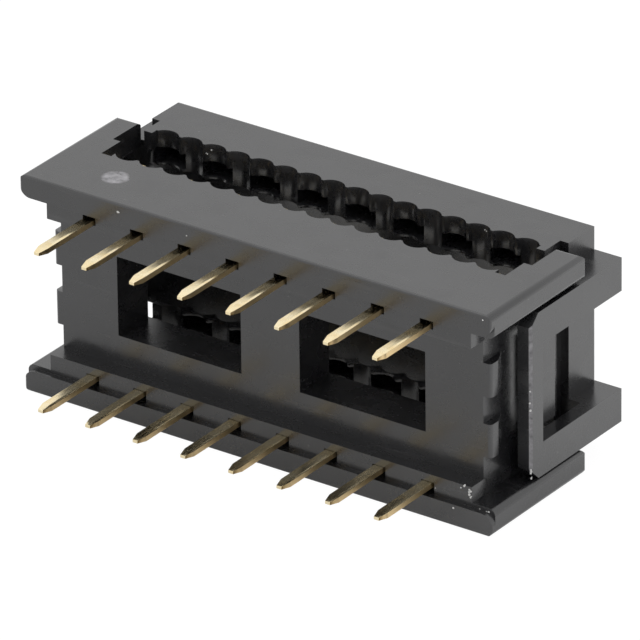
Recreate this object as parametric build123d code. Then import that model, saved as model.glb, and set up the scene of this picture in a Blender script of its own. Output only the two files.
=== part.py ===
from build123d import *
import os

# Insulation displacement connector for flat cable, with two rows of board pins.
# The part lies on its long side: X runs along the rows, -Y is the board side,
# +Y is the cable side and Z runs across the rows. The origin is the centre of the
# pin field in the plane of the housing's board faces. All sizes are in millimetres.

# Contact grid
contacts_per_row = 8
contact_pitch = 2.54
row_spacing = 7.62

# Contact, a flat stamping that lies in an XY plane
contact_thickness = 0.25
pin_width = 0.50
pin_free_length = 3.83
pin_taper_length = 0.50
pin_tip_width = 0.26
pin_tip_thickness = 0.14
plate_back_width = 0.80
plate_front_width = 0.90
plate_length = 1.90
fork_root_width = 1.44
fork_tip_width = 1.24
fork_length = 2.40
fork_slot_width = 0.30
fork_slot_depth = 2.30
fork_mouth_width = 0.80
fork_mouth_depth = 0.55

# Housing side walls and their guide arms
wall_offset = 0.25
wall_thickness = 1.21
arm_step = 0.41
arm_width = 1.33
arm_length = 2.13
arm_end_radius = 0.38
arm_corner_radius = 0.12
front_corner_radius = 0.12
end_edge_radius = 0.30
inner_edge_radius = 0.32
front_edge_radius = 0.12
lip_height = 1.04
lip_depth = 0.30
lip_end_radius = 0.55

# Housing core between the side walls
panel_recess = 0.95
core_depth = 2.69
strip_height = 0.75
strip_overhang = 0.03
web_recess = 0.49
slot_margin = 0.50
shoulder_width = 0.49
notch_width = 0.53
notch_depth = 0.29
window_length = 6.60
window_height = 3.84
centre_web = 3.10

# Cavities for the contacts
seat_depth = 0.35
cavity_clearance = 0.04
pin_hole_width = 0.68
pin_hole_height = 0.56

# Wire grooves, shared by the housing and the cover
groove_radius = 0.70
groove_depth = 0.30
band_inset = 0.36

# Closing teeth and guide post on each end of the core
tooth_width = 1.60
tooth_spacing = 2.90
tooth_height = 0.40
tooth_length = 1.35
tooth_front_radius = 0.18
tooth_back_length = 0.80
post_thickness = 0.46
post_length = 1.05
post_ramp_length = 0.45
post_ramp_rise = 0.23

# Cover, drawn open as it stands before the cable is pressed in
closing_stroke = 2.80
closed_gap = 0.33
cover_thickness = 2.12
cover_step = 0.84
middle_recess = 0.31
cover_inset = 0.12
cover_edge_radius = 0.20
tab_width = 0.43
tab_length = 0.35
tab_height = 1.00
pocket_inset = 0.22
pocket_width = 1.62
pocket_height = 0.73
pocket_floor = 1.02

# Latch frames, one on each end of the cover
latch_inset = 0.05
latch_thickness = 0.70
latch_bar_height = 1.60
front_bar_depth = 0.91
latch_corner = 0.55
latch_front_chamfer = 0.12

# Running clearances between the cover and the housing
arm_gap = 0.04
slot_clearance = 0.06
wall_clearance = 0.10
post_side_clearance = 0.10
post_front_clearance = 0.10
seat_clearance = 0.04
latch_clearance = 0.04

# Places along X, from the contact grid outwards
wire_pitch = contact_pitch / 2
half_grid = contacts_per_row * contact_pitch / 2
shoulder_x = half_grid + slot_margin
notch_x = shoulder_x - notch_width
half_core = shoulder_x + shoulder_width
arm_inner_x = shoulder_x + arm_step
half_length = arm_inner_x + arm_width
cover_half_length = arm_inner_x - arm_gap
nose_half_length = shoulder_x - slot_clearance
latch_outer_x = half_length - latch_inset
latch_inner_x = latch_outer_x - latch_thickness

# Places along Y, from the board side to the cable side
panel_y = lip_depth + panel_recess
cavity_floor_y = panel_y + seat_depth
cable_face_y = panel_y + core_depth
notch_floor_y = cable_face_y - notch_depth
pin_tip_y = lip_depth - pin_free_length
plate_back_y = cavity_floor_y + plate_length
fork_tip_y = plate_back_y + fork_length
cover_front_y = cable_face_y + closed_gap + closing_stroke
cover_step_y = cover_front_y + cover_step
cover_middle_y = cover_front_y + middle_recess
cover_back_y = cover_step_y + cover_thickness
shoulder_y = cover_step_y - closing_stroke - seat_clearance
arm_end_y = shoulder_y + arm_length
post_end_y = shoulder_y + post_length
latch_window_y = panel_y + closing_stroke - latch_clearance
latch_front_y = latch_window_y - front_bar_depth

# Places along Z, from the contact rows outwards
row_z = row_spacing / 2
band_inner_z = row_z - band_inset
pocket_inner_z = row_z - pocket_inset
wall_inner_z = row_z + wall_offset
half_height = wall_inner_z + wall_thickness
lip_inner_z = half_height - lip_height
cover_half_height = half_height - cover_inset
latch_half_height = wall_inner_z - wall_clearance
latch_window_half = latch_half_height - latch_bar_height
post_half_width = latch_window_half - post_side_clearance

# Reach of a cut that passes right through
beyond = 40


def block(low, high):
    """A rectangular block between two opposite corners."""
    size = [b - a for a, b in zip(low, high)]
    middle = [(a + b) / 2 for a, b in zip(low, high)]
    return Pos(*middle) * Box(*size)


def prism(points, low_z, high_z):
    """A prism along Z with the given XY outline."""
    outline = make_face(Polyline(*points, close=True))
    return Pos(0, 0, low_z) * extrude(outline, high_z - low_z, dir=(0, 0, 1))


def both_ends(shape):
    """The shape at the +X end and its mirror image at the -X end."""
    return shape + mirror(shape, about=Plane.YZ)


def both_sides(shape):
    """The shape on the upper side and its mirror image on the lower side."""
    return shape + mirror(shape, about=Plane.XY)


def centred_row(count, pitch):
    """Positions of a row of equally spaced features about zero."""
    return [(k - (count - 1) / 2) * pitch for k in range(count)]


def pin_positions():
    return centred_row(contacts_per_row, contact_pitch)


def fork_position(pin_x, side):
    """The forks of the two rows take alternate wires, so each fork is offset from its pin."""
    return pin_x - side * wire_pitch / 2


def wire_grooves(edge_y, towards):
    """Round grooves along Z in a face at edge_y whose open side is +Y (1) or -Y (-1)."""
    centre_y = edge_y + towards * (groove_radius - groove_depth)
    wires = centred_row(2 * contacts_per_row, wire_pitch)
    return Part() + [Pos(x, centre_y, 0) * Cylinder(groove_radius, beyond) for x in wires]


def rounded_below(shape, radius):
    """The block with the two lowest of its edges along Y rounded."""
    long_edges = shape.edges().filter_by(Axis.Y)
    return fillet(long_edges.sort_by(Axis.Z)[:2], radius)


def side_wall():
    """Upper side wall of the housing, with an arm at each end that guides the cover."""
    half_outline = [
        (half_length, 0),
        (half_length, arm_end_y),
        (arm_inner_x, arm_end_y),
        (arm_inner_x, shoulder_y),
        (shoulder_x, shoulder_y),
        (shoulder_x, notch_floor_y),
        (notch_x, notch_floor_y),
        (notch_x, cable_face_y),
    ]
    other_half = [(-x, y) for x, y in reversed(half_outline)]
    plan = prism(half_outline + other_half, wall_inner_z, half_height)
    upright = plan.edges().filter_by(Axis.Z)
    arm_corners = upright.filter_by(lambda e: abs(e.center().Y - arm_end_y) < 0.01)
    plan = fillet(arm_corners, arm_corner_radius)
    upright = plan.edges().filter_by(Axis.Z)
    front_corners = upright.filter_by(lambda e: e.center().Y < 0.01)
    plan = fillet(front_corners, front_corner_radius)
    slab = block((-half_length, 0, wall_inner_z), (half_length, arm_end_y, half_height))
    outer_edges = slab.edges().filter_by(lambda e: e.center().Z > half_height - 0.01)
    rounded_ends = fillet(outer_edges.filter_by(Axis.Y), end_edge_radius)
    front_edge = outer_edges.filter_by(lambda e: e.center().Y < 0.01)
    rounded_front = fillet(front_edge, front_edge_radius)
    arm_tips = slab.edges().filter_by(Axis.X)
    arm_tips = arm_tips.filter_by(lambda e: e.center().Y > arm_end_y - 0.01)
    rounded_arms = fillet(arm_tips, arm_end_radius)
    lip = block((-half_length, 0, lip_inner_z), (half_length, lip_depth, half_height))
    behind_lip = block(
        (-half_length, lip_depth, wall_inner_z),
        (half_length, arm_end_y, half_height),
    )
    section = rounded_below(lip, lip_end_radius) + rounded_below(behind_lip, inner_edge_radius)
    return plan & rounded_ends & rounded_front & rounded_arms & section


def tooth():
    """Closing tooth on the +X end: the pressed latch frame snaps in front of it."""
    tip_x = half_core + tooth_height
    root_x = half_core - shoulder_width / 2
    back_y = panel_y + tooth_length
    outline = [
        (root_x, panel_y),
        (tip_x, panel_y),
        (tip_x, back_y - tooth_back_length),
        (half_core, back_y),
        (root_x, back_y),
    ]
    middle = tooth_spacing / 2
    body = prism(outline, middle - tooth_width / 2, middle + tooth_width / 2)
    tip = body.edges().filter_by(Axis.Z)
    tip = tip.filter_by(lambda e: e.center().X > tip_x - 0.01)
    return fillet(tip.sort_by(Axis.Y)[0], tooth_front_radius)


def guide_post():
    """Post on the +X end, which stands up between the two bars of the latch frame."""
    outer_x = arm_inner_x + post_thickness
    root_x = half_core - shoulder_width / 2
    outline = [
        (root_x, latch_window_y + post_front_clearance),
        (outer_x, latch_window_y + post_front_clearance),
        (outer_x, post_end_y),
        (outer_x - post_ramp_rise, post_end_y + post_ramp_length),
        (arm_inner_x, post_end_y + post_ramp_length),
        (arm_inner_x, shoulder_y),
        (root_x, shoulder_y),
    ]
    return prism(outline, -post_half_width, post_half_width)


def window(side):
    """One of the two rectangular windows through the core."""
    middle_x = side * (centre_web + window_length) / 2
    return Pos(middle_x, 0, 0) * Box(window_length, beyond, window_height)


def contact_cavity(pin_x, side):
    """Hole for one contact: a passage for the pin, flush with the lip, and a slot for the plate."""
    fork_x = fork_position(pin_x, side)
    passage_z = [side * lip_inner_z, side * (lip_inner_z - pin_hole_height)]
    passage = block(
        (pin_x - pin_hole_width / 2, lip_depth - 1, min(passage_z)),
        (pin_x + pin_hole_width / 2, cavity_floor_y + 0.1, max(passage_z)),
    )
    edges = [
        fork_x + side * (plate_front_width + cavity_clearance),
        fork_x - side * (plate_back_width + cavity_clearance),
    ]
    half_thickness = contact_thickness / 2 + cavity_clearance
    slot = block(
        (min(edges), cavity_floor_y, side * row_z - half_thickness),
        (max(edges), beyond, side * row_z + half_thickness),
    )
    return passage + slot


def housing():
    """The moulding that holds the contacts and carries the cover."""
    overlap = 0.1
    strip_end_x = half_core + strip_overhang
    core = block(
        (-half_core, panel_y, -wall_inner_z - overlap),
        (half_core, cable_face_y, wall_inner_z + overlap),
    )
    end_wall = block(
        (shoulder_x, panel_y, -wall_inner_z - overlap),
        (half_core, shoulder_y, wall_inner_z + overlap),
    )
    strip = block(
        (-strip_end_x, lip_depth, wall_inner_z - strip_height),
        (strip_end_x, panel_y + overlap, wall_inner_z + overlap),
    )
    notch = block(
        (notch_x, notch_floor_y, -wall_inner_z - overlap),
        (shoulder_x, cable_face_y + 1, wall_inner_z + overlap),
    )
    cable_recess = block(
        (-shoulder_x, cable_face_y - web_recess, -band_inner_z),
        (shoulder_x, cable_face_y + 1, band_inner_z),
    )
    body = core - both_ends(notch) + both_sides(strip) + both_sides(side_wall())
    body = body - cable_recess - wire_grooves(cable_face_y, 1)
    body = body + both_ends(end_wall + both_sides(tooth()) + guide_post())
    body = body - window(-1) - window(1)
    for side in (1, -1):
        body = body - [contact_cavity(pin_x, side) for pin_x in pin_positions()]
    return body


def latch_frame():
    """Frame on the +X end of the cover: two bars along Y, joined by a front bar."""
    side_outline = [
        (latch_front_y, latch_half_height - latch_corner),
        (latch_front_y + latch_corner, latch_half_height),
        (cover_back_y, latch_half_height),
    ]
    other_half = [(y, -z) for y, z in reversed(side_outline)]
    outline = Plane.YZ * make_face(Polyline(*side_outline, *other_half, close=True))
    root_x = cover_half_length - 0.5
    body = Pos(root_x, 0, 0) * extrude(outline, latch_outer_x - root_x, dir=(1, 0, 0))
    flexing_gap = block(
        (root_x - 1, latch_front_y - 1, -beyond),
        (latch_inner_x, cover_step_y, beyond),
    )
    opening = block(
        (root_x - 1, latch_window_y, -latch_window_half),
        (beyond, beyond, latch_window_half),
    )
    body = body - flexing_gap - opening
    front = body.edges().filter_by(Axis.Z)
    front = front.filter_by(lambda e: abs(e.center().Y - latch_front_y) < 0.01)
    outer = front.filter_by(lambda e: abs(e.center().X - latch_outer_x) < 0.01)
    return chamfer(outer, latch_front_chamfer)


def fork_pocket(pin_x, side):
    """Pocket in the cover that takes one fork when the cover is pressed home."""
    x = fork_position(pin_x, side)
    edges = [side * pocket_inner_z, side * (pocket_inner_z + pocket_height)]
    return block(
        (x - pocket_width / 2, cover_front_y - 1, min(edges)),
        (x + pocket_width / 2, cover_back_y - pocket_floor, max(edges)),
    )


def cover():
    """The moulding that presses the cable on to the forks, with its two latch frames."""
    slab = block(
        (-cover_half_length, cover_step_y, -cover_half_height),
        (cover_half_length, cover_back_y, cover_half_height),
    )
    back_edges = slab.edges().filter_by(lambda e: abs(e.center().Y - cover_back_y) < 0.01)
    slab = fillet(back_edges, cover_edge_radius)
    band = block(
        (-nose_half_length, cover_front_y, band_inner_z),
        (nose_half_length, cover_step_y + 0.1, cover_half_height),
    )
    middle = block(
        (-nose_half_length, cover_middle_y, -band_inner_z - 0.1),
        (nose_half_length, cover_step_y + 0.1, band_inner_z + 0.1),
    )
    tab = block(
        (nose_half_length - tab_width, cover_front_y - tab_length, cover_half_height - tab_height),
        (nose_half_length, cover_step_y + 0.1, cover_half_height),
    )
    bands = both_sides(band) - wire_grooves(cover_front_y, -1)
    body = slab + middle + bands + both_sides(both_ends(tab)) + both_ends(latch_frame())
    for side in (1, -1):
        body = body - [fork_pocket(pin_x, side) for pin_x in pin_positions()]
    return body


def contact(pin_x, side):
    """One contact: board pin, seating plate and two-tined fork in a single stamping."""
    pin_offset = wire_pitch / 2
    slot_root_y = fork_tip_y - fork_slot_depth
    pin_left = pin_offset - pin_width / 2
    pin_right = pin_offset + pin_width / 2
    outline = [
        (pin_offset - pin_tip_width / 2, pin_tip_y),
        (pin_offset + pin_tip_width / 2, pin_tip_y),
        (pin_right, pin_tip_y + pin_taper_length),
        (pin_right, cavity_floor_y),
        (plate_front_width, cavity_floor_y),
        (plate_front_width, plate_back_y),
        (fork_root_width / 2, plate_back_y),
        (fork_tip_width / 2, fork_tip_y),
        (fork_mouth_width / 2, fork_tip_y),
        (fork_slot_width / 2, fork_tip_y - fork_mouth_depth),
        (fork_slot_width / 2, slot_root_y),
        (-fork_slot_width / 2, slot_root_y),
        (-fork_slot_width / 2, fork_tip_y - fork_mouth_depth),
        (-fork_mouth_width / 2, fork_tip_y),
        (-fork_tip_width / 2, fork_tip_y),
        (-fork_root_width / 2, plate_back_y),
        (-plate_back_width, plate_back_y),
        (-plate_back_width, cavity_floor_y),
        (pin_left, cavity_floor_y),
        (pin_left, pin_tip_y + pin_taper_length),
    ]
    half = contact_thickness / 2
    blank = prism([(side * x, y) for x, y in outline], -half, half)
    section = [
        (pin_tip_y, pin_tip_thickness / 2),
        (pin_tip_y + pin_taper_length, half),
        (fork_tip_y, half),
    ]
    other_half = [(y, -z) for y, z in reversed(section)]
    profile = Plane.YZ * make_face(Polyline(*section, *other_half, close=True))
    envelope = Pos(-beyond, 0, 0) * extrude(profile, 2 * beyond, dir=(1, 0, 0))
    return Pos(fork_position(pin_x, side), 0, side * row_z) * (blank & envelope)


os.makedirs("parts", exist_ok=True)
export_step(housing(), "parts/housing.step")
export_step(cover(), "parts/cover.step")
for side, row_name in ((1, "upper"), (-1, "lower")):
    for number, pin_x in enumerate(pin_positions(), start=1):
        export_step(contact(pin_x, side), f"parts/contact_{row_name}_{number}.step")
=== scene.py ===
import math
import random

import bmesh
import bpy
from bpy.props import FloatProperty, FloatVectorProperty, IntProperty, PointerProperty
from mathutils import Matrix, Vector


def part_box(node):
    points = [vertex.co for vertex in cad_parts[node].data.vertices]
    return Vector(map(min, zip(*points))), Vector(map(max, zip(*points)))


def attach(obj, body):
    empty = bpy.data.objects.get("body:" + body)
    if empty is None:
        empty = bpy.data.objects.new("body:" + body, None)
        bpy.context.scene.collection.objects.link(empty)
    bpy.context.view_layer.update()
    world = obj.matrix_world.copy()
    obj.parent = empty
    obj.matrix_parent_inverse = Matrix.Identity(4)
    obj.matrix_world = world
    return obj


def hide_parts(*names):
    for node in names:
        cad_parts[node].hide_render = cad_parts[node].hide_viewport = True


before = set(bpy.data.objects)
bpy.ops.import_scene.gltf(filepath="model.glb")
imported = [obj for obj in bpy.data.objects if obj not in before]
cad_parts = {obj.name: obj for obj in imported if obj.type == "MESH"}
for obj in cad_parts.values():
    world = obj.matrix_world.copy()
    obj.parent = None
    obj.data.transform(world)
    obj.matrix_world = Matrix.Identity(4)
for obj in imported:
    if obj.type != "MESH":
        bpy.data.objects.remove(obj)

bl_info = {
    "name": "Flat cable connector finish",
    "version": (1, 0, 0),
    "blender": (4, 5, 0),
    "location": "3D View > Sidebar > Connector",
    "description": "Finishes a flat cable connector as glossy black mouldings with gold contacts",
    "category": "Object",
}

MM = 0.001

# Corners nearer than this are merged, faces flatter than this are joined, and sharper edges are rounded
MERGE_DISTANCE = 0.0005 * MM
FLAT_ANGLE = math.radians(0.6)
SHARP_ANGLE = math.radians(20)

# Number of steps in the rounded edges of the mouldings and of the contacts
MOULDING_SEGMENTS = 2
CONTACT_SEGMENTS = 4

# Colours that wear leaves on black plastic; a pale colour for both the real ejector mark and the
# painted highlight on the latch frames' edges; and the colours of the torn plastic in the flash
SCUFF_COLOUR = (0.10, 0.10, 0.10)
DUST_COLOUR = (0.28, 0.28, 0.27)
PALE_MARK_AND_HIGHLIGHT_COLOUR = (0.33, 0.32, 0.34)
TORN_DARK = (0.38, 0.38, 0.38)
TORN_PALE = (0.75, 0.75, 0.73)

# What a pattern is spread over: from nothing to all, or from all to nothing
RISING = (0.0, 1.0)
FALLING = (1.0, 0.0)

# Where pale flash sits on each moulding: the middle, the spread and the number of its specks, in mm
FLASH_PLACES = {
    "housing": (
        ((11.06, 0.29, -3.52), (0.05, 0.0, 0.14), 9),
        ((10.86, 0.29, -3.34), (0.05, 0.0, 0.03), 3),
        ((10.60, 0.29, -3.50), (0.03, 0.0, 0.02), 1),
        ((9.33, 0.29, -3.88), (0.02, 0.0, 0.02), 1),
        ((11.80, 0.28, -4.22), (0.22, 0.0, 0.02), 4),
        ((10.42, 0.00, -4.36), (0.03, 0.0, 0.03), 2),
        ((12.02, 0.00, 5.05), (0.01, 0.0, 0.01), 1),
        ((-7.18, 0.00, 4.88), (0.12, 0.0, 0.02), 2),
        ((-3.42, 0.00, 4.74), (0.01, 0.0, 0.01), 1),
    ),
    "cover": (
        ((12.30, 3.12, -3.45), (0.02, 0.01, 0.16), 8),
        ((12.29, 3.12, -0.15), (0.02, 0.01, 0.30), 3),
        ((-7.35, 7.08, 4.75), (0.12, 0.0, 0.15), 3),
        ((7.30, 7.08, 5.05), (0.05, 0.0, 0.06), 2),
    ),
}


# Sizes and colours that a user may change

class MouldingSettings(bpy.types.PropertyGroup):
    plastic_colour: FloatVectorProperty(
        name="Plastic colour",
        description="Colour of the black plastic, the same in both mouldings",
        subtype="COLOR",
        size=3,
        min=0.0,
        max=1.0,
        default=(0.010, 0.010, 0.011),
    )
    plastic_roughness: FloatProperty(
        name="Plastic roughness",
        description="Middle roughness of the polished mould surfaces",
        min=0.0,
        max=1.0,
        default=0.24,
    )
    edge_radius: FloatProperty(
        name="Edge radius",
        description="Radius on the edges of the mouldings",
        subtype="DISTANCE",
        unit="LENGTH",
        min=0.0,
        default=0.035 * MM,
    )
    mark_x: FloatProperty(
        name="Ejector mark along the row",
        description="Place of the pale ejector mark on the upper side wall, along X",
        subtype="DISTANCE",
        unit="LENGTH",
        default=-8.72 * MM,
    )
    mark_y: FloatProperty(
        name="Ejector mark depth",
        description="Place of the pale ejector mark on the upper side wall, along Y",
        subtype="DISTANCE",
        unit="LENGTH",
        default=2.05 * MM,
    )
    mark_radius: FloatProperty(
        name="Ejector mark radius",
        description="Radius of the pale ejector mark",
        subtype="DISTANCE",
        unit="LENGTH",
        min=0.0,
        default=0.66 * MM,
    )
    mark_strength: FloatProperty(
        name="Ejector mark strength",
        description="How much the palest patches of the ejector mark cover the black",
        min=0.0,
        max=1.0,
        default=0.88,
    )
    # Strength of the painted highlight, a pale colour, on the latch frames' front chamfers
    latch_highlight: FloatProperty(
        name="Latch frame painted highlight",
        description="How much the palest painted highlights on the latch frames' front edges cover the black",
        min=0.0,
        max=1.0,
        default=0.55,
    )


class FlashSettings(bpy.types.PropertyGroup):
    smallest: FloatProperty(
        name="Smallest speck",
        description="Radius of the smallest speck of flash",
        subtype="DISTANCE",
        unit="LENGTH",
        min=0.0,
        default=0.020 * MM,
    )
    largest: FloatProperty(
        name="Largest speck",
        description="Radius of the largest speck of flash",
        subtype="DISTANCE",
        unit="LENGTH",
        min=0.0,
        default=0.060 * MM,
    )
    crumple: FloatProperty(
        name="Crumple",
        description="How far the specks' points are pushed about, as a share of a speck's radius",
        min=0.0,
        default=0.9,
    )
    seed: IntProperty(
        name="Seed",
        description="Number that fixes the places, turns and sizes of the specks",
        default=4,
    )


class ContactSettings(bpy.types.PropertyGroup):
    per_row: IntProperty(
        name="Contacts in a row",
        description="Number of contacts in each of the two rows",
        min=1,
        default=8,
    )
    pitch: FloatProperty(
        name="Contact pitch",
        description="Distance between neighbouring contacts in a row",
        subtype="DISTANCE",
        unit="LENGTH",
        min=0.0,
        default=2.54 * MM,
    )
    edge_radius: FloatProperty(
        name="Contact edge radius",
        description="Largest radius on the edges of the stamped contacts",
        subtype="DISTANCE",
        unit="LENGTH",
        min=0.0,
        default=0.068 * MM,
    )
    flat_half_width: FloatProperty(
        name="Half width of the flat",
        description="Distance from a pin's middle to where its face starts to roll off",
        subtype="DISTANCE",
        unit="LENGTH",
        min=0.0,
        default=0.09 * MM,
    )
    roll_radius: FloatProperty(
        name="Roll-off radius",
        description="Radius by which a pin's face rolls off towards its stamped edge",
        subtype="DISTANCE",
        unit="LENGTH",
        min=0.01 * MM,
        default=0.20 * MM,
    )
    roll_end: FloatProperty(
        name="Roll-off end",
        description="Distance behind the board faces, inside the housing, at which the roll-off stops",
        subtype="DISTANCE",
        unit="LENGTH",
        default=1.5 * MM,
    )
    gold_colour: FloatVectorProperty(
        name="Gold colour",
        description="Colour of the plated faces",
        subtype="COLOR",
        size=3,
        min=0.0,
        max=1.0,
        default=(0.90, 0.78, 0.52),
    )
    side_colour: FloatVectorProperty(
        name="Side colour",
        description="Colour of the sheared side faces, which are duller and browner",
        subtype="COLOR",
        size=3,
        min=0.0,
        max=1.0,
        default=(0.78, 0.59, 0.32),
    )
    # Painted dark reflection on the rounded edges between the pins' tops and sides
    dark_rim_reflection_colour: FloatVectorProperty(
        name="Dark rim reflection colour",
        description="Colour of the painted dark reflection on the rims between the stamped and the sheared faces",
        subtype="COLOR",
        size=3,
        min=0.0,
        max=1.0,
        default=(0.16, 0.10, 0.03),
    )


class StageSettings(bpy.types.PropertyGroup):
    camera_azimuth: FloatProperty(
        name="Camera azimuth",
        description="Angle round the connector, from looking along +Y",
        subtype="ANGLE",
        default=math.radians(35.599),
    )
    camera_elevation: FloatProperty(
        name="Camera elevation",
        description="Angle of the camera above the table",
        subtype="ANGLE",
        default=math.radians(26.77),
    )
    camera_roll: FloatProperty(
        name="Camera roll",
        description="Turn of the picture about its centre",
        subtype="ANGLE",
        default=math.radians(-0.725),
    )
    camera_distance: FloatProperty(
        name="Camera distance",
        description="Distance from the camera to the pin field",
        subtype="DISTANCE",
        unit="LENGTH",
        default=451.323 * MM,
    )
    camera_right: FloatProperty(
        name="Camera offset to the right",
        description="How far the camera is moved to its right",
        subtype="DISTANCE",
        unit="LENGTH",
        default=2.874 * MM,
    )
    camera_up: FloatProperty(
        name="Camera offset upwards",
        description="How far the camera is moved upwards",
        subtype="DISTANCE",
        unit="LENGTH",
        default=1.482 * MM,
    )
    camera_lens: FloatProperty(
        name="Camera focal length",
        description="Focal length in millimetres, for a sensor 36 mm wide",
        min=1.0,
        default=590.16,
    )
    floor_radius: FloatProperty(
        name="Floor radius",
        description="Radius of the round table top",
        subtype="DISTANCE",
        unit="LENGTH",
        default=1.5,
    )
    surround_strength: FloatProperty(
        name="Surround strength",
        description="Brightness of the white surround",
        min=0.0,
        default=0.95,
    )
    white_level: FloatProperty(
        name="White level",
        description="Brightness of the surround where it shows, and of the table where it is seen",
        min=0.0,
        default=1.05,
    )
    table_white: FloatProperty(
        name="Table white",
        description="How much of the light that falls on the table it gives back",
        min=0.0,
        max=1.0,
        default=0.94,
    )
    seen_white_share: FloatProperty(
        name="Seen white share",
        description="Share of plain white in the table that the camera sees; the rest keeps the shadow",
        min=0.0,
        max=1.0,
        default=0.92,
    )
    mirrored_white_share: FloatProperty(
        name="Mirrored white share",
        description="Share of plain white in the table that the connector's gloss mirrors",
        min=0.0,
        max=1.0,
        default=0.28,
    )
    mirrored_near: FloatProperty(
        name="Mirrored brightness in front",
        description="Brightness of the mirrored plain white in front of the connector",
        min=0.0,
        default=0.62,
    )
    mirrored_far: FloatProperty(
        name="Mirrored brightness behind",
        description="Brightness of the mirrored plain white behind the connector",
        min=0.0,
        default=1.80,
    )
    mirrored_reach: FloatProperty(
        name="Mirrored reach",
        description="Sum of X and Y at which the mirrored white reaches its brightness behind",
        subtype="DISTANCE",
        unit="LENGTH",
        min=0.0,
        default=22.0 * MM,
    )
    top_light_power: FloatProperty(
        name="Top light power",
        description="Power of the soft light above the connector",
        subtype="POWER",
        min=0.0,
        default=0.25,
    )
    top_light_size: FloatProperty(
        name="Top light size",
        description="Diameter of the soft light above the connector",
        subtype="DISTANCE",
        unit="LENGTH",
        min=0.0,
        default=0.25,
    )
    top_light_place: FloatVectorProperty(
        name="Top light place",
        description="Place of the soft light above the connector",
        subtype="TRANSLATION",
        unit="LENGTH",
        size=3,
        default=(-0.10, -0.05, 0.40),
    )
    top_light_aim: FloatVectorProperty(
        name="Top light aim",
        description="Point that the soft light above the connector faces",
        subtype="TRANSLATION",
        unit="LENGTH",
        size=3,
        default=(0.0, 3.0 * MM, 0.0),
    )


# Node trees

def noise(tree, vector, scale, detail, roughness=0.5):
    """A noise pattern of the given scale, as a number."""
    node = tree.nodes.new("ShaderNodeTexNoise")
    node.inputs["Scale"].default_value = scale
    node.inputs["Detail"].default_value = detail
    node.inputs["Roughness"].default_value = roughness
    tree.links.new(vector, node.inputs["Vector"])
    return node.outputs["Fac"]


def stretched(tree, vector, scale):
    """Coordinates multiplied by a scale for each axis."""
    node = tree.nodes.new("ShaderNodeMapping")
    node.inputs["Scale"].default_value = scale
    tree.links.new(vector, node.inputs["Vector"])
    return node.outputs["Vector"]


def spread(tree, value, given, wanted):
    """A number moved from the given range to the wanted one, clamped."""
    node = tree.nodes.new("ShaderNodeMapRange")
    node.inputs["From Min"].default_value, node.inputs["From Max"].default_value = given
    node.inputs["To Min"].default_value, node.inputs["To Max"].default_value = wanted
    tree.links.new(value, node.inputs["Value"])
    return node.outputs["Result"]


def along_axes(tree, vector):
    """The X, Y and Z of a vector."""
    node = tree.nodes.new("ShaderNodeSeparateXYZ")
    tree.links.new(vector, node.inputs["Vector"])
    return node.outputs


def calculate(tree, operation, first, second=0.0):
    """A Math node on an output and, where it takes two, another output or a number."""
    node = tree.nodes.new("ShaderNodeMath")
    node.operation = operation
    tree.links.new(first, node.inputs[0])
    if isinstance(second, float):
        node.inputs[1].default_value = second
    else:
        tree.links.new(second, node.inputs[1])
    return node.outputs["Value"]


def product(tree, first, *others):
    """The product of an output and other outputs or numbers."""
    for other in others:
        first = calculate(tree, "MULTIPLY", first, other)
    return first


def total(tree, first, second):
    """The sum of an output and another output or a number."""
    return calculate(tree, "ADD", first, second)


def blend_colours(tree, factor, first, second):
    """A mix of two colours, each an output or a fixed colour."""
    node = tree.nodes.new("ShaderNodeMix")
    node.data_type = "RGBA"
    tree.links.new(factor, node.inputs["Factor"])
    for socket, colour in ((node.inputs[6], first), (node.inputs[7], second)):
        if isinstance(colour, bpy.types.NodeSocket):
            tree.links.new(colour, socket)
        else:
            socket.default_value = (*colour, 1.0)
    return node.outputs[2]


def bumped(tree, height, distance, strength, normal=None):
    """A bump of the given height in metres, on top of another bump if there is one."""
    node = tree.nodes.new("ShaderNodeBump")
    node.inputs["Distance"].default_value = distance
    node.inputs["Strength"].default_value = strength
    tree.links.new(height, node.inputs["Height"])
    if normal is not None:
        tree.links.new(normal, node.inputs["Normal"])
    return node.outputs["Normal"]


# Materials

def new_material(name):
    """An empty material with its output node and Principled shader."""
    material = bpy.data.materials.new(name)
    material.use_nodes = True
    nodes = material.node_tree.nodes
    nodes.clear()
    output = nodes.new("ShaderNodeOutputMaterial")
    shader = nodes.new("ShaderNodeBsdfPrincipled")
    material.node_tree.links.new(shader.outputs["BSDF"], output.inputs["Surface"])
    return material, shader


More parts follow.
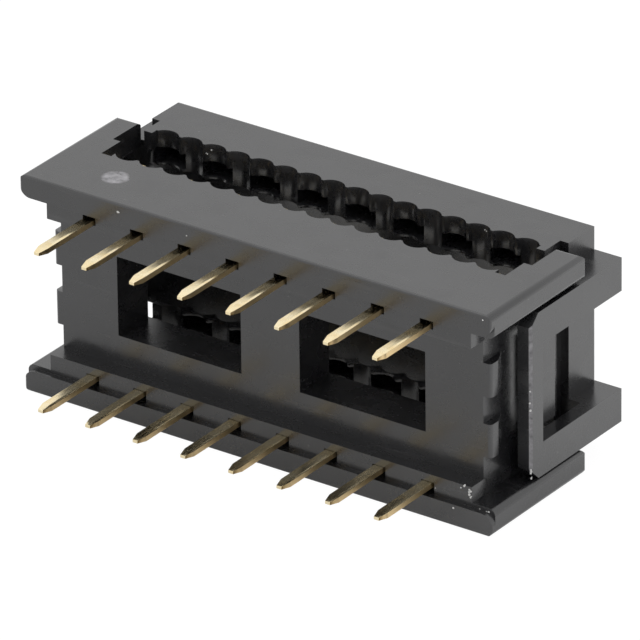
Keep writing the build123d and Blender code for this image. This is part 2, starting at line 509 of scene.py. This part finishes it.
def black_plastic(name, settings, pale_mark_and_highlight):
    """Polished black plastic with flow lines, scuffs, dust and a pale matt area from the given
    function: the ejector mark on the housing, and a painted highlight on the cover's latch frames.
    """
    material, shader = new_material(name)
    tree = material.node_tree
    coordinates = tree.nodes.new("ShaderNodeTexCoord")
    place = coordinates.outputs["Object"]

    colour = tuple(settings.plastic_colour)
    pale = tuple(min(1.0, 1.8 * c) for c in colour)
    clouds = noise(tree, place, scale=420.0, detail=3.0)
    base = blend_colours(tree, spread(tree, clouds, (0.35, 0.75), (0.0, 0.55)), colour, pale)
    along_flow = stretched(tree, place, (260.0, 1500.0, 2600.0))
    flow = noise(tree, along_flow, scale=1.0, detail=4.0, roughness=0.6)
    scuffs = spread(tree, flow, (0.60, 0.80), RISING)
    base = blend_colours(tree, product(tree, scuffs, 0.16), base, SCUFF_COLOUR)
    grit = noise(tree, place, scale=5200.0, detail=2.0)
    dust = spread(tree, grit, (0.765, 0.80), (0.0, 0.45))
    base = blend_colours(tree, dust, base, DUST_COLOUR)

    low = settings.plastic_roughness - 0.04
    high = settings.plastic_roughness + 0.10
    smears = noise(tree, place, scale=700.0, detail=5.0, roughness=0.65)
    rough = spread(tree, smears, (0.3, 0.75), (low, high))
    rough = total(tree, rough, product(tree, scuffs, 0.10))

    # The pale area is the real ejector mark on the housing and a painted highlight on the cover's latch
    # chamfers
    pale_mark_and_highlight_share = pale_mark_and_highlight(tree, coordinates, settings)
    base = blend_colours(tree, pale_mark_and_highlight_share, base, PALE_MARK_AND_HIGHLIGHT_COLOUR)
    rough = total(tree, rough, product(tree, pale_mark_and_highlight_share, 0.25))

    waves = noise(tree, place, scale=300.0, detail=1.0)
    grain = noise(tree, place, scale=9000.0, detail=3.0, roughness=0.6)
    normal = bumped(tree, waves, distance=0.012 * MM, strength=0.20)
    normal = bumped(tree, grain, distance=0.004 * MM, strength=0.5, normal=normal)

    tree.links.new(base, shader.inputs["Base Color"])
    tree.links.new(rough, shader.inputs["Roughness"])
    tree.links.new(normal, shader.inputs["Normal"])
    shader.inputs["IOR"].default_value = 1.75
    return material


def ejector_mark(tree, coordinates, settings):
    """A mottled pale disc on the upper side wall, as a number from 0 to 1."""
    place = coordinates.outputs["Object"]
    at = along_axes(tree, place)
    across = calculate(tree, "SUBTRACT", at["X"], settings.mark_x)
    along = calculate(tree, "SUBTRACT", at["Y"], settings.mark_y)
    squares = total(tree, product(tree, across, across), product(tree, along, along))
    distance = calculate(tree, "POWER", squares, 0.5)
    radius = settings.mark_radius
    uneven = product(tree, noise(tree, place, scale=3000.0, detail=2.0), 0.22 * radius)
    distance = total(tree, distance, uneven)
    disc = spread(tree, distance, (0.86 * radius, 1.12 * radius), FALLING)
    patches = noise(tree, place, scale=3400.0, detail=5.0, roughness=0.7)
    mottle = spread(tree, patches, (0.34, 0.62), (0.15, settings.mark_strength))
    # Only the wall's outer face takes the mark, and nothing below it
    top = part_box("housing")[1][2]
    on_top = spread(tree, at["Z"], (top - 0.17 * MM, top - 0.07 * MM), RISING)
    return product(tree, disc, mottle, on_top)


def painted_latch_highlights(tree, coordinates, settings):
    """Painted highlight on the upright chamfered edges at the cover's ends, on its latch frames, as a
    number from 0 to 1.
    """
    facing = along_axes(tree, coordinates.outputs["Normal"])
    sideways = product(tree, facing["X"], facing["X"])
    forward = product(tree, facing["Y"], facing["Y"])
    # Painted highlight on faces turned as much to the side as to the front: the latch frames' front
    # chamfers
    painted_rim = spread(tree, product(tree, sideways, forward), (0.10, 0.18), RISING)
    place = coordinates.outputs["Object"]
    from_middle = calculate(tree, "ABSOLUTE", along_axes(tree, place)["X"])
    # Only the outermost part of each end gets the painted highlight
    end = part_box("cover")[1][0]
    on_frame = spread(tree, from_middle, (end - 0.35 * MM, end - 0.15 * MM), RISING)
    patches = noise(tree, place, scale=2600.0, detail=4.0, roughness=0.7)
    highlight_share = spread(tree, patches, (0.35, 0.65), (0.10, settings.latch_highlight))
    return product(tree, painted_rim, on_frame, highlight_share)


def gold_plate(settings):
    """Bright gold plate on the stamped faces, browner on the sheared sides, with a painted dark
    reflection on the rims.
    """
    material, shader = new_material("gold_plate")
    tree = material.node_tree
    coordinates = tree.nodes.new("ShaderNodeTexCoord")
    place = coordinates.outputs["Object"]

    facing = along_axes(tree, coordinates.outputs["Normal"])
    sideways = product(tree, facing["X"], facing["X"])
    side = spread(tree, sideways, (0.55, 0.85), RISING)
    # The rims between the stamped tops and the sheared sides get a painted dark reflection
    turned_down = spread(tree, sideways, (0.42, 0.60), RISING)
    not_flat = spread(tree, sideways, (0.90, 0.99), FALLING)
    painted_rim = product(tree, turned_down, not_flat)

    gold = tuple(settings.gold_colour)
    tarnish = noise(tree, place, scale=1500.0, detail=4.0, roughness=0.6)
    warm = (gold[0] * 0.90, gold[1] * 0.80, gold[2] * 0.60)
    base = blend_colours(tree, spread(tree, tarnish, (0.42, 0.78), RISING), gold, warm)
    base = blend_colours(tree, side, base, tuple(settings.side_colour))
    base = blend_colours(tree, painted_rim, base, tuple(settings.dark_rim_reflection_colour))

    along_pins = stretched(tree, place, (9000.0, 900.0, 9000.0))
    drawn = noise(tree, along_pins, scale=1.0, detail=3.0)
    rough = spread(tree, drawn, (0.3, 0.7), (0.16, 0.28))
    rough = total(tree, rough, product(tree, side, 0.14))
    normal = bumped(tree, rolled_edges(tree, place, settings), distance=1.0, strength=1.0)
    normal = bumped(tree, drawn, distance=0.004 * MM, strength=0.4, normal=normal)

    tree.links.new(base, shader.inputs["Base Color"])
    tree.links.new(rough, shader.inputs["Roughness"])
    tree.links.new(normal, shader.inputs["Normal"])
    shader.inputs["Metallic"].default_value = 1.0
    return material


def rolled_edges(tree, place, settings):
    """How far the pins' faces fall away towards their +X edges, as a height in metres."""
    at = along_axes(tree, place)
    from_gap = calculate(tree, "FLOORED_MODULO", at["X"], settings.pitch)
    flat_end = 0.5 * settings.pitch + settings.flat_half_width
    past_flat = calculate(tree, "SUBTRACT", from_gap, flat_end)
    rolled = calculate(tree, "MAXIMUM", past_flat, 0.0)
    height = product(tree, rolled, rolled, -0.5 / settings.roll_radius)
    on_pin = spread(tree, at["Y"], (settings.roll_end, settings.roll_end + 0.1 * MM), FALLING)
    return product(tree, height, on_pin)


def torn_plastic():
    """Thin torn plastic at parting lines, which looks pale and matt."""
    material, shader = new_material("torn_plastic")
    tree = material.node_tree
    place = tree.nodes.new("ShaderNodeTexCoord").outputs["Object"]
    torn = noise(tree, place, scale=16000.0, detail=4.0, roughness=0.7)
    base = blend_colours(tree, spread(tree, torn, (0.3, 0.7), RISING), TORN_DARK, TORN_PALE)
    rough = spread(tree, torn, (0.3, 0.7), (0.45, 0.75))
    normal = bumped(tree, torn, distance=0.02 * MM, strength=0.7)
    tree.links.new(base, shader.inputs["Base Color"])
    tree.links.new(rough, shader.inputs["Roughness"])
    tree.links.new(normal, shader.inputs["Normal"])
    return material


# Meshes

def add_object(name, data):
    """A new object in the scene with the given mesh, lamp or lens."""
    piece = bpy.data.objects.new(name, data)
    bpy.context.scene.collection.objects.link(piece)
    return piece


def merged_copy(node_name, piece_name):
    """A CAD node's faces as a new closed mesh with whole flat faces."""
    work = bmesh.new()
    work.from_mesh(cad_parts[node_name].data)
    bmesh.ops.remove_doubles(work, verts=work.verts, dist=MERGE_DISTANCE)
    bmesh.ops.dissolve_limit(
        work,
        angle_limit=FLAT_ANGLE,
        verts=work.verts,
        edges=work.edges,
        delimit={"NORMAL"},
    )
    mesh = bpy.data.meshes.new(piece_name)
    work.to_mesh(mesh)
    work.free()
    return add_object(piece_name, mesh)


def soften_edges(piece, radius, segments):
    """Rounds the piece's sharp edges."""
    piece.data.shade_smooth()
    bevel = piece.modifiers.new("edges", "BEVEL")
    bevel.width = radius
    bevel.segments = segments
    bevel.limit_method = "ANGLE"
    bevel.angle_limit = SHARP_ANGLE
    bevel.use_clamp_overlap = True
    bevel.miter_outer = "MITER_ARC"


def flatten_faces(piece):
    """Keeps the flat faces flat in their shading, up to the rounded edges."""
    flat = piece.modifiers.new("flat_faces", "WEIGHTED_NORMAL")
    flat.mode = "FACE_AREA"
    flat.weight = 100


def made_plain(piece):
    """The piece with its modifiers worked into a plain mesh."""
    graph = bpy.context.evaluated_depsgraph_get()
    mesh = bpy.data.meshes.new_from_object(piece.evaluated_get(graph), depsgraph=graph)
    piece.modifiers.clear()
    piece.data = mesh
    return piece


def set_material(piece, material):
    """Gives the piece this one material."""
    piece.data.materials.clear()
    piece.data.materials.append(material)


def moulding(node_name, piece_name, material, radius):
    """A moulded piece with softened edges that stands for a CAD node on its own body."""
    piece = merged_copy(node_name, piece_name)
    soften_edges(piece, radius, MOULDING_SEGMENTS)
    flatten_faces(piece)
    made_plain(piece)
    set_material(piece, material)
    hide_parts(node_name)
    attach(piece, node_name)
    return piece


# Geometry trees

def tree_with_sockets(name, sizes):
    """An empty geometry tree that takes a mesh and named sizes and gives a mesh."""
    tree = bpy.data.node_groups.new(name, "GeometryNodeTree")
    tree.interface.new_socket("Geometry", in_out="INPUT", socket_type="NodeSocketGeometry")
    for size_name, kind in sizes:
        tree.interface.new_socket(size_name, in_out="INPUT", socket_type=kind)
    tree.interface.new_socket("Geometry", in_out="OUTPUT", socket_type="NodeSocketGeometry")
    return tree


def add_tree(piece, tree, values):
    """Puts a geometry tree with the given inputs on the piece."""
    modifier = piece.modifiers.new(tree.name, "NODES")
    modifier.node_group = tree
    for item in tree.interface.items_tree:
        if item.item_type == "SOCKET" and item.in_out == "INPUT" and item.name in values:
            modifier[item.identifier] = values[item.name]


def scattered(places, seed):
    """Points spread about each of the places, in metres."""
    chance = random.Random(seed)
    return [
        tuple(MM * chance.gauss(middle, width) for middle, width in zip(centre, spread_by))
        for centre, spread_by, count in places
        for _ in range(count)
    ]


def specks_tree():
    """Sets a crumpled speck on each of the given points, each turned and sized its own way."""
    sizes = (
        ("Smallest", "NodeSocketFloat"),
        ("Largest", "NodeSocketFloat"),
        ("Crumple", "NodeSocketFloat"),
        ("Seed", "NodeSocketInt"),
        ("Plastic", "NodeSocketMaterial"),
    )
    tree = tree_with_sockets("flash_specks", sizes)
    nodes = tree.nodes
    link = tree.links.new
    given = nodes.new("NodeGroupInput")
    result = nodes.new("NodeGroupOutput")

    speck = nodes.new("GeometryNodeMeshIcoSphere")
    speck.inputs["Radius"].default_value = 1.0
    speck.inputs["Subdivisions"].default_value = 2
    dents = nodes.new("ShaderNodeTexNoise")
    dents.inputs["Scale"].default_value = 1.6
    centred = nodes.new("ShaderNodeVectorMath")
    centred.operation = "SUBTRACT"
    centred.inputs[1].default_value = (0.5, 0.5, 0.5)
    push = nodes.new("ShaderNodeVectorMath")
    push.operation = "SCALE"
    link(dents.outputs["Color"], centred.inputs[0])
    link(centred.outputs["Vector"], push.inputs[0])
    link(given.outputs["Crumple"], push.inputs["Scale"])
    crumpled = nodes.new("GeometryNodeSetPosition")
    link(speck.outputs["Mesh"], crumpled.inputs["Geometry"])
    link(push.outputs["Vector"], crumpled.inputs["Offset"])

    turn = nodes.new("FunctionNodeRandomValue")
    turn.data_type = "FLOAT_VECTOR"
    turn.inputs["Max"].default_value = (math.tau, math.tau, math.tau)
    link(given.outputs["Seed"], turn.inputs["Seed"])
    grow = nodes.new("FunctionNodeRandomValue")
    link(given.outputs["Smallest"], grow.inputs[2])
    link(given.outputs["Largest"], grow.inputs[3])
    link(given.outputs["Seed"], grow.inputs["Seed"])
    placed = nodes.new("GeometryNodeInstanceOnPoints")
    link(given.outputs["Geometry"], placed.inputs["Points"])
    link(crumpled.outputs["Geometry"], placed.inputs["Instance"])
    link(turn.outputs["Value"], placed.inputs["Rotation"])
    link(grow.outputs[1], placed.inputs["Scale"])

    real = nodes.new("GeometryNodeRealizeInstances")
    link(placed.outputs["Instances"], real.inputs["Geometry"])
    coloured = nodes.new("GeometryNodeSetMaterial")
    link(real.outputs["Geometry"], coloured.inputs["Geometry"])
    link(given.outputs["Plastic"], coloured.inputs["Material"])
    link(coloured.outputs["Geometry"], result.inputs["Geometry"])
    return tree


def contact_rows_tree():
    """Lays one contact out along the upper row, and turns that row half round for the lower one."""
    sizes = (
        ("Count", "NodeSocketInt"),
        ("Pitch", "NodeSocketFloat"),
        ("Plating", "NodeSocketMaterial"),
    )
    tree = tree_with_sockets("contact_rows", sizes)
    nodes = tree.nodes
    link = tree.links.new
    given = nodes.new("NodeGroupInput")
    result = nodes.new("NodeGroupOutput")

    step = nodes.new("ShaderNodeCombineXYZ")
    link(given.outputs["Pitch"], step.inputs["X"])
    row = nodes.new("GeometryNodeMeshLine")
    link(given.outputs["Count"], row.inputs["Count"])
    link(step.outputs["Vector"], row.inputs["Offset"])
    placed = nodes.new("GeometryNodeInstanceOnPoints")
    link(row.outputs["Mesh"], placed.inputs["Points"])
    link(given.outputs["Geometry"], placed.inputs["Instance"])

    turned = nodes.new("GeometryNodeTransform")
    turned.inputs["Rotation"].default_value = (0.0, math.pi, 0.0)
    link(placed.outputs["Instances"], turned.inputs["Geometry"])
    both = nodes.new("GeometryNodeJoinGeometry")
    link(turned.outputs["Geometry"], both.inputs["Geometry"])
    link(placed.outputs["Instances"], both.inputs["Geometry"])

    real = nodes.new("GeometryNodeRealizeInstances")
    link(both.outputs["Geometry"], real.inputs["Geometry"])
    plated = nodes.new("GeometryNodeSetMaterial")
    link(real.outputs["Geometry"], plated.inputs["Geometry"])
    link(given.outputs["Plating"], plated.inputs["Material"])
    link(plated.outputs["Geometry"], result.inputs["Geometry"])
    return tree


# Stage

def shown_share(tree, camera_share, mirrored_share):
    """One number where the camera looks, another where gloss mirrors, and 0 for all other light."""
    seen = tree.nodes.new("ShaderNodeLightPath")
    by_camera = product(tree, seen.outputs["Is Camera Ray"], camera_share)
    by_gloss = product(tree, seen.outputs["Is Glossy Ray"], mirrored_share)
    return calculate(tree, "MAXIMUM", by_camera, by_gloss)


def chosen(tree, share, first, second):
    """The second shader by the given share, and the first for the rest."""
    node = tree.nodes.new("ShaderNodeMixShader")
    tree.links.new(share, node.inputs["Fac"])
    tree.links.new(first, node.inputs[1])
    tree.links.new(second, node.inputs[2])
    return node.outputs["Shader"]


def background(tree, strength):
    """A plain white background of the given brightness."""
    node = tree.nodes.new("ShaderNodeBackground")
    node.inputs["Color"].default_value = (1.0, 1.0, 1.0, 1.0)
    node.inputs["Strength"].default_value = strength
    return node.outputs["Background"]


def white_table(settings):
    """Matt white that keeps a light shadow and mirrors brighter from behind the connector."""
    material, shader = new_material("white_table")
    tree = material.node_tree
    lit = settings.table_white
    shader.inputs["Base Color"].default_value = (lit, lit, lit, 1.0)
    shader.inputs["Roughness"].default_value = 0.9
    shader.inputs["Specular IOR Level"].default_value = 0.0

    place = tree.nodes.new("ShaderNodeTexCoord").outputs["Object"]
    at = along_axes(tree, place)
    behind = total(tree, at["X"], at["Y"])
    brightness = (settings.mirrored_near, settings.mirrored_far)
    mirrored = spread(tree, behind, (0.0, settings.mirrored_reach), brightness)
    white = tree.nodes.new("ShaderNodeEmission")
    strength = shown_share(tree, settings.white_level, mirrored)
    tree.links.new(strength, white.inputs["Strength"])

    share = shown_share(tree, settings.seen_white_share, settings.mirrored_white_share)
    choose = chosen(tree, share, shader.outputs["BSDF"], white.outputs["Emission"])
    output = next(n for n in tree.nodes if n.type == "OUTPUT_MATERIAL")
    tree.links.new(choose, output.inputs["Surface"])
    return material


def make_floor(settings):
    """A round white table top at the connector's lowest point."""
    bottom = min(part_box(name)[0][2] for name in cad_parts)
    work = bmesh.new()
    bmesh.ops.create_circle(work, cap_ends=True, segments=96, radius=settings.floor_radius)
    bmesh.ops.translate(work, verts=work.verts, vec=(0.0, 0.0, bottom))
    mesh = bpy.data.meshes.new("table_top")
    work.to_mesh(mesh)
    work.free()
    floor = add_object("table_top", mesh)
    set_material(floor, white_table(settings))


def make_surround(settings):
    """A plain white world that also shows as white behind the connector."""
    world = bpy.data.worlds.new("white_surround")
    bpy.context.scene.world = world
    world.use_nodes = True
    tree = world.node_tree
    tree.nodes.clear()
    output = tree.nodes.new("ShaderNodeOutputWorld")
    light = background(tree, settings.surround_strength)
    white = background(tree, settings.white_level)
    choose = chosen(tree, shown_share(tree, 1.0, 1.0), light, white)
    tree.links.new(choose, output.inputs["Surface"])


def make_lights(settings):
    """One soft round light above the connector, a little to the left and in front."""
    lamp = bpy.data.lights.new("top_light", "AREA")
    lamp.shape = "DISK"
    lamp.size = settings.top_light_size
    lamp.energy = settings.top_light_power
    light = add_object("top_light", lamp)
    light.location = settings.top_light_place
    aim = Vector(settings.top_light_aim) - light.location
    light.rotation_euler = aim.to_track_quat("-Z", "Y").to_euler()


def make_camera(settings):
    """A long lens at the picture's viewing angle."""
    azimuth = settings.camera_azimuth
    elevation = settings.camera_elevation
    roll = settings.camera_roll
    back = Vector((
        math.sin(azimuth) * math.cos(elevation),
        -math.cos(azimuth) * math.cos(elevation),
        math.sin(elevation),
    ))
    level = Vector((math.cos(azimuth), math.sin(azimuth), 0.0))
    upright = back.cross(level)
    right = math.cos(roll) * level + math.sin(roll) * upright
    up = math.cos(roll) * upright - math.sin(roll) * level
    lens = bpy.data.cameras.new("camera")
    lens.sensor_width = 36.0
    lens.lens = settings.camera_lens
    lens.clip_start = 10.0 * MM
    lens.clip_end = 20.0
    camera = add_object("camera", lens)
    eye = settings.camera_distance * back + settings.camera_right * right + settings.camera_up * up
    matrix = camera.matrix_world.copy()
    for row in range(3):
        matrix[row][0] = right[row]
        matrix[row][1] = up[row]
        matrix[row][2] = back[row]
        matrix[row][3] = eye[row]
    camera.matrix_world = matrix
    bpy.context.scene.camera = camera


# Operators

class CONNECTOR_OT_housing(bpy.types.Operator):
    """Make the housing from its solid, in polished black plastic"""

    bl_idname = "connector.housing"
    bl_label = "Housing"

    def execute(self, context):
        settings = context.scene.connector_moulding
        plastic = black_plastic("housing_black_plastic", settings, ejector_mark)
        piece = moulding("housing", "housing_moulding", plastic, settings.edge_radius)
        return {"FINISHED"}


class CONNECTOR_OT_cover(bpy.types.Operator):
    """Make the cover with its two latch frames from its solid"""

    bl_idname = "connector.cover"
    bl_label = "Cover"

    def execute(self, context):
        settings = context.scene.connector_moulding
        plastic = black_plastic("cover_black_plastic", settings, painted_latch_highlights)
        piece = moulding("cover", "cover_moulding", plastic, settings.edge_radius)
        return {"FINISHED"}


class CONNECTOR_OT_flash(bpy.types.Operator):
    """Leave pale specks of moulding flash on the corners and edges of both mouldings"""

    bl_idname = "connector.flash"
    bl_label = "Moulding flash"

    def execute(self, context):
        settings = context.scene.connector_flash
        tree = specks_tree()
        values = {
            "Smallest": settings.smallest,
            "Largest": settings.largest,
            "Crumple": settings.crumple,
            "Seed": settings.seed,
            "Plastic": torn_plastic(),
        }
        for node_name, places in FLASH_PLACES.items():
            mesh = bpy.data.meshes.new(f"{node_name}_flash")
            mesh.from_pydata(scattered(places, settings.seed), [], [])
            piece = add_object(f"{node_name}_flash", mesh)
            add_tree(piece, tree, values)
            made_plain(piece)
            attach(piece, node_name)
        return {"FINISHED"}


class CONNECTOR_OT_contacts(bpy.types.Operator):
    """Make both rows of gold-plated contacts from the first contact's solid"""

    bl_idname = "connector.contacts"
    bl_label = "Contacts"

    def execute(self, context):
        settings = context.scene.connector_contacts
        plating = gold_plate(settings)
        piece = merged_copy("contact_upper_1", "contact_rows")
        soften_edges(piece, settings.edge_radius, CONTACT_SEGMENTS)
        values = {"Count": settings.per_row, "Pitch": settings.pitch, "Plating": plating}
        add_tree(piece, contact_rows_tree(), values)
        flatten_faces(piece)
        made_plain(piece)
        names = [
            f"contact_{row}_{number}"
            for row in ("upper", "lower")
            for number in range(1, settings.per_row + 1)
        ]
        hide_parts(*names)
        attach(piece, "housing")
        return {"FINISHED"}


class CONNECTOR_OT_stage(bpy.types.Operator):
    """Set the white table, the surround, the lights and the camera"""

    bl_idname = "connector.stage"
    bl_label = "Stage"

    def execute(self, context):
        settings = context.scene.connector_stage
        make_floor(settings)
        make_surround(settings)
        make_lights(settings)
        make_camera(settings)
        context.scene.view_settings.view_transform = "Standard"
        return {"FINISHED"}


# Sidebar and registration

class CONNECTOR_PT_sidebar(bpy.types.Panel):
    """The connector's operators and settings"""

    bl_idname = "CONNECTOR_PT_sidebar"
    bl_label = "Connector"
    bl_space_type = "VIEW_3D"
    bl_region_type = "UI"
    bl_category = "Connector"

    def draw(self, context):
        for kind in OPERATORS:
            self.layout.operator(kind.bl_idname)
        for group in (
            context.scene.connector_moulding,
            context.scene.connector_flash,
            context.scene.connector_contacts,
            context.scene.connector_stage,
        ):
            box = self.layout.box()
            for name in group.__annotations__:
                box.prop(group, name)


SETTINGS = (MouldingSettings, FlashSettings, ContactSettings, StageSettings)
OPERATORS = (
    CONNECTOR_OT_housing,
    CONNECTOR_OT_cover,
    CONNECTOR_OT_flash,
    CONNECTOR_OT_contacts,
    CONNECTOR_OT_stage,
)


def register():
    for kind in (*SETTINGS, *OPERATORS, CONNECTOR_PT_sidebar):
        bpy.utils.register_class(kind)
    bpy.types.Scene.connector_moulding = PointerProperty(type=MouldingSettings)
    bpy.types.Scene.connector_flash = PointerProperty(type=FlashSettings)
    bpy.types.Scene.connector_contacts = PointerProperty(type=ContactSettings)
    bpy.types.Scene.connector_stage = PointerProperty(type=StageSettings)


def unregister():
    del bpy.types.Scene.connector_stage
    del bpy.types.Scene.connector_contacts
    del bpy.types.Scene.connector_flash
    del bpy.types.Scene.connector_moulding
    for kind in reversed((*SETTINGS, *OPERATORS, CONNECTOR_PT_sidebar)):
        bpy.utils.unregister_class(kind)


def main():
    """Registers the add-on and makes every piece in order."""
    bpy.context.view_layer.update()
    register()
    bpy.ops.connector.stage()
    bpy.ops.connector.housing()
    bpy.ops.connector.cover()
    bpy.ops.connector.flash()
    bpy.ops.connector.contacts()


if __name__ == "__main__":
    main()
